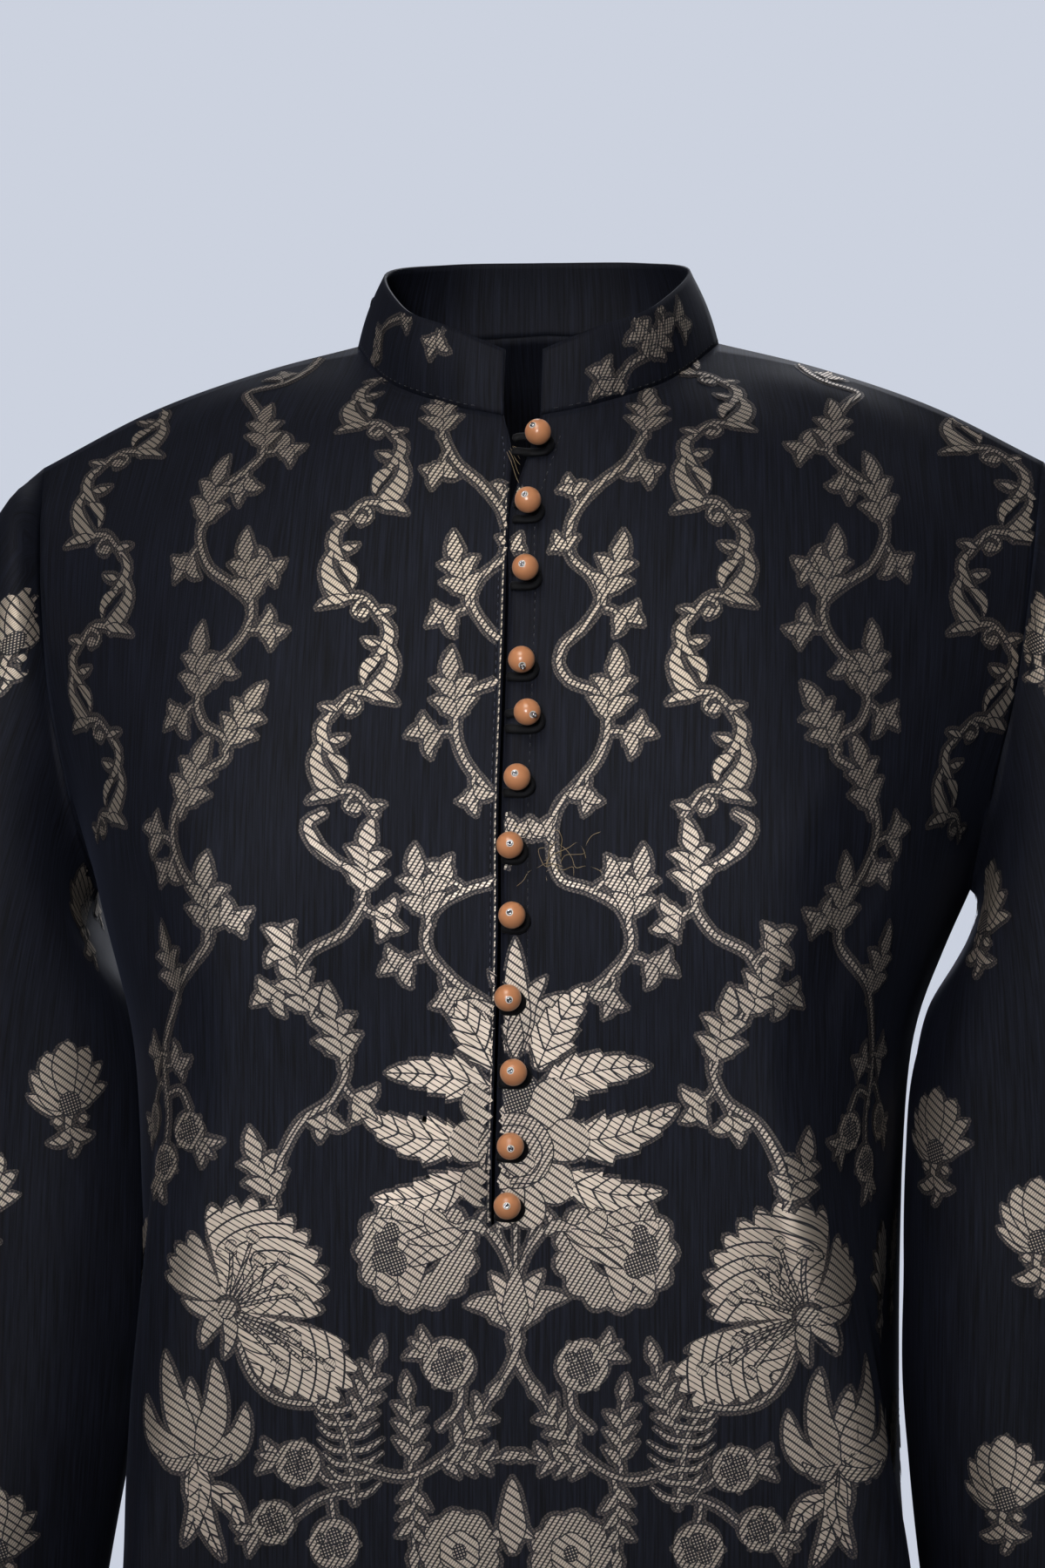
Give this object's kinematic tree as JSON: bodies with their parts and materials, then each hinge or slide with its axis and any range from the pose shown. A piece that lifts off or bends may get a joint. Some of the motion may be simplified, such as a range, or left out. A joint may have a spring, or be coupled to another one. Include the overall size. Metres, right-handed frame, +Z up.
{
  "type": "worn long jacquard shirt with stand collar",
  "caption": "Long-sleeved woven shirt with an open stand collar and a slit neck front fastened by pearls and cloth loops, hanging as worn.",
  "frame": {"origin": "midway between the two neck ends of the shoulder seams, where the wearer's shoulders hold the shirt up", "axes": "+Z up, the front of the shirt faces -Y, +X to the viewer's right seen from the front"},
  "size_m": [0.5406, 0.2554, 0.9962],
  "materials": {
    "jacquard_cloth": "fine near-black navy cotton-silk weave with a figured pattern in beige-gold metallic thread",
    "loop_cloth": "the same navy cloth rolled into a narrow tube, matt",
    "pearl": "copper-peach pearl coat with a silver seed bead in the hole"
  },
  "bodies": {
    "root": {"front": "jacquard_cloth", "back": "jacquard_cloth", "sleeve_left": "jacquard_cloth", "sleeve_right": "jacquard_cloth", "collar": "jacquard_cloth", "button_loop_01": "loop_cloth", "button_loop_02": "loop_cloth", "button_loop_03": "loop_cloth", "button_loop_04": "loop_cloth", "button_loop_05": "loop_cloth", "button_loop_06": "loop_cloth", "button_loop_07": "loop_cloth", "button_loop_08": "loop_cloth", "button_loop_09": "loop_cloth", "button_loop_10": "loop_cloth", "button_loop_11": "loop_cloth", "button_loop_12": "loop_cloth", "pearl_button_01": "pearl", "pearl_button_02": "pearl", "pearl_button_03": "pearl", "pearl_button_04": "pearl", "pearl_button_05": "pearl", "pearl_button_06": "pearl", "pearl_button_07": "pearl", "pearl_button_08": "pearl", "pearl_button_09": "pearl", "pearl_button_10": "pearl", "pearl_button_11": "pearl", "pearl_button_12": "pearl"}
  },
  "joints": []
}
